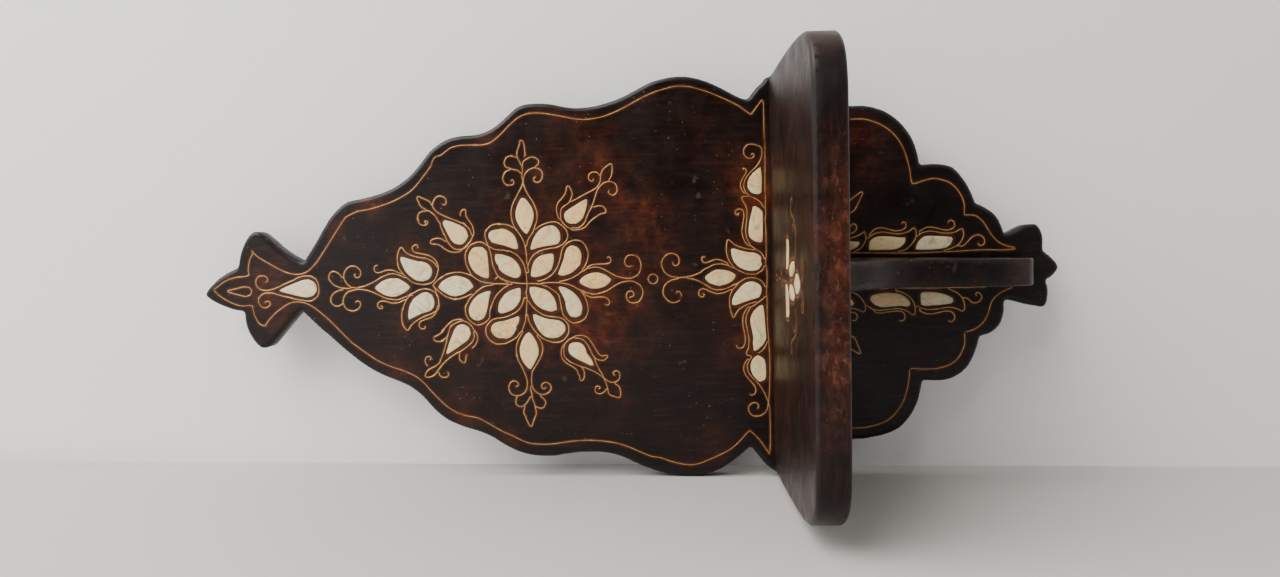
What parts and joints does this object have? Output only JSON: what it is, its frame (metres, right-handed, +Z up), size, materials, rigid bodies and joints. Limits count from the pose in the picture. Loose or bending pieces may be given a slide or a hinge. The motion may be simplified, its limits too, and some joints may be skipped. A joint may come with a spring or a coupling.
{
  "type": "wall-hung quran shelf",
  "caption": "Wall-hung Quran shelf: tall shaped back board, one flat shelf on a plank bracket, dark varnished wood inlaid with mother-of-pearl and brass wire.",
  "frame": {"origin": "middle of the back board's wall-side face, on its centre line at half its height", "axes": "+Z up along the board's height, +X to the right of a viewer facing the shelf, +Y into the wall, so the front faces -Y"},
  "size_m": [0.3289, 0.218, 0.7026],
  "materials": {
    "dark_wood": "satin varnish over dark stain",
    "nacre": "polished mother-of-pearl",
    "brass": "dull inlaid wire",
    "steel": "plain screw steel"
  },
  "bodies": {
    "root": {"back_board": "dark_wood", "bracket": "dark_wood", "hanger_plate": "brass", "nacre_crown_almond": "nacre", "nacre_crown_leaf_l": "nacre", "nacre_crown_leaf_r": "nacre", "nacre_drop_lower_l": "nacre", "nacre_drop_lower_r": "nacre", "nacre_drop_upper_l": "nacre", "nacre_drop_upper_r": "nacre", "nacre_finial_drop": "nacre", "nacre_inner_lower_l": "nacre", "nacre_inner_lower_r": "nacre", "nacre_inner_upper_l": "nacre", "nacre_inner_upper_r": "nacre", "nacre_low_bottom_l": "nacre", "nacre_low_bottom_r": "nacre", "nacre_low_mid_l": "nacre", "nacre_low_mid_r": "nacre", "nacre_low_top_l": "nacre", "nacre_low_top_r": "nacre", "nacre_petal_bottom_l": "nacre", "nacre_petal_bottom_r": "nacre", "nacre_petal_side_lower_l": "nacre", "nacre_petal_side_lower_r": "nacre", "nacre_petal_side_upper_l": "nacre", "nacre_petal_side_upper_r": "nacre", "nacre_petal_top_l": "nacre", "nacre_petal_top_r": "nacre", "nacre_rosette_bottom": "nacre", "nacre_rosette_left": "nacre", "nacre_rosette_right": "nacre", "nacre_rosette_top": "nacre", "nacre_row_almond": "nacre", "nacre_row_end_l": "nacre", "nacre_row_end_r": "nacre", "nacre_row_leaf_l": "nacre", "nacre_row_leaf_r": "nacre", "nacre_row_mid_l": "nacre", "nacre_row_mid_r": "nacre", "nacre_shelf_almond": "nacre", "nacre_shelf_bar_l": "nacre", "nacre_shelf_bar_r": "nacre", "nacre_shelf_leaf_l": "nacre", "nacre_shelf_leaf_r": "nacre", "screw_bracket_lower": "steel", "screw_bracket_upper": "steel", "screw_hanger_lower": "steel", "screw_hanger_upper": "steel", "screw_shelf_c": "steel", "screw_shelf_l": "steel", "screw_shelf_r": "steel", "shelf": "dark_wood", "wire_border_lower_l": "brass", "wire_border_lower_r": "brass", "wire_border_upper": "brass", "wire_centre_ring": "brass"}
  },
  "joints": []
}
